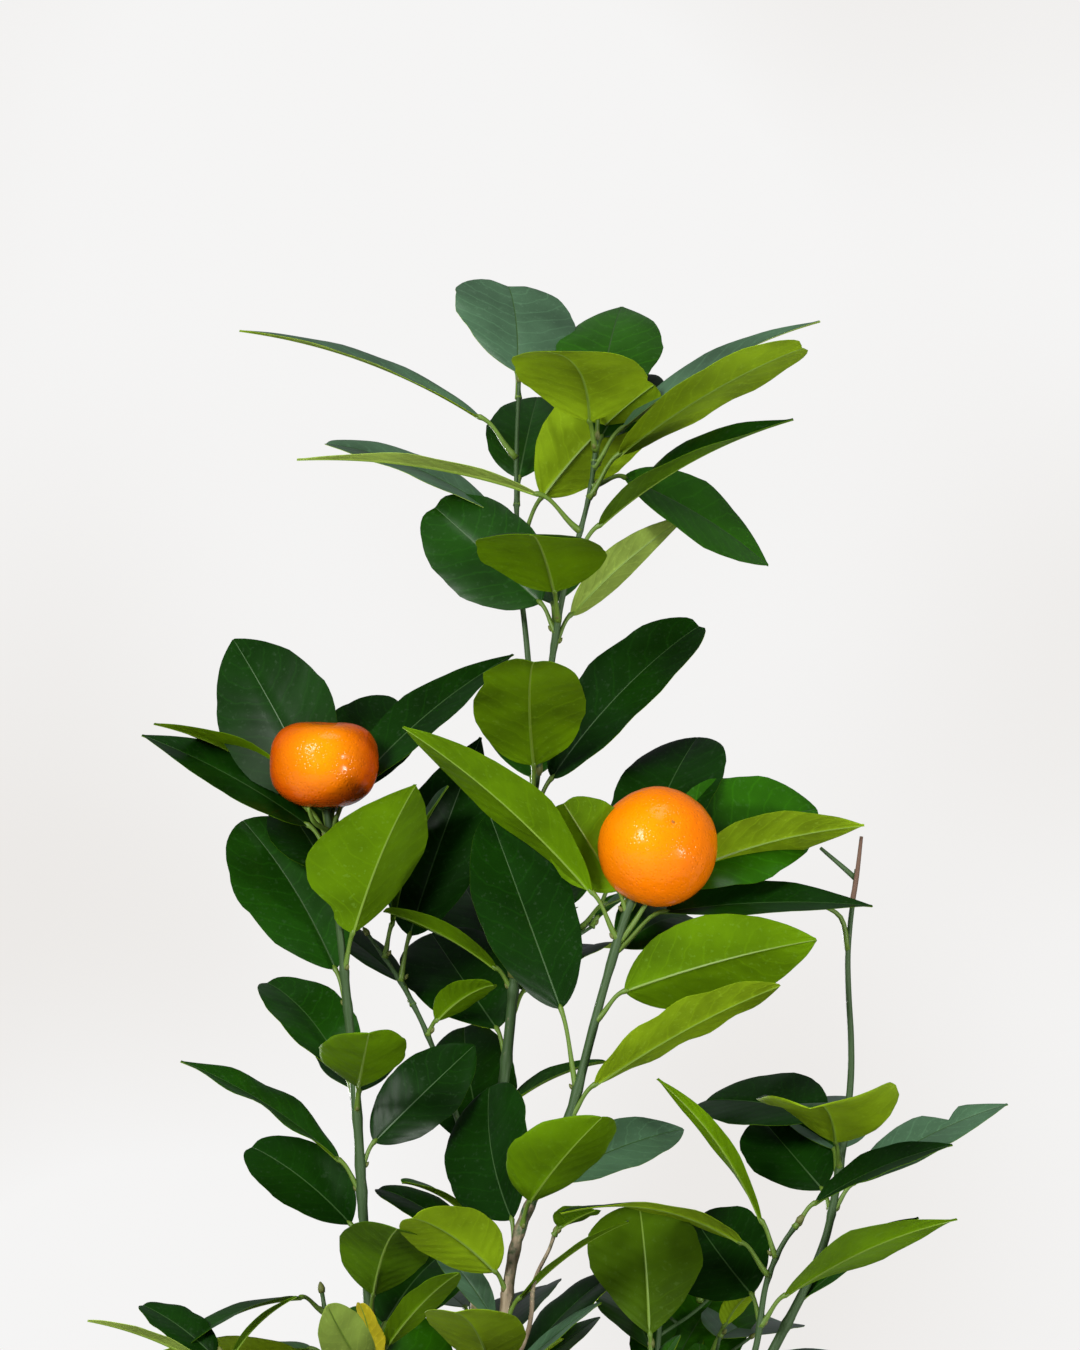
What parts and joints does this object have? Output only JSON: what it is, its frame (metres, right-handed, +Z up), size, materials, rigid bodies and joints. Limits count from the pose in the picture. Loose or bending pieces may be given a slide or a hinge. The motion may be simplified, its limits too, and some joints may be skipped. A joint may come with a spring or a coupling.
{
  "type": "calamondin orange tree in a clay pot",
  "caption": "Young citrus tree in a plain round clay pot: a short trunk, upright shoots with leathery leaves, and ripe round orange fruit.",
  "frame": {"origin": "centre of the pot's flat underside", "axes": "+Z up along the pot's axis, -Y towards the side of the tree that the picture shows, +X to the right in that view"},
  "size_m": [0.3185, 0.2596, 0.7306],
  "materials": {
    "clay": "plain unglazed terracotta, matte",
    "soil": "dark crumbly potting soil",
    "bark": "thin brown bark with pale lengthwise streaks over green wood",
    "foliage": "glossy dark green leaves with lighter matte undersides on green twigs",
    "peel": "thin glossy orange peel with fine pores"
  },
  "bodies": {
    "root": {"pot": "clay", "soil": "soil", "trunk": "bark", "bough_back": "bark", "bough_centre": "bark", "bough_far_right": "bark", "bough_front": "bark", "bough_left": "bark", "bough_low_left": "bark", "bough_right": "bark", "foliage_back": "foliage", "foliage_back_left": "foliage", "foliage_back_right": "foliage", "foliage_centre_low": "foliage", "foliage_centre_top": "foliage", "foliage_far_right": "foliage", "foliage_far_right_low": "foliage", "foliage_front": "foliage", "foliage_left": "foliage", "foliage_low_left": "foliage", "foliage_low_right": "foliage", "foliage_right_low": "foliage", "foliage_right_mid": "foliage", "foliage_right_top": "foliage"}
  },
  "joints": []
}
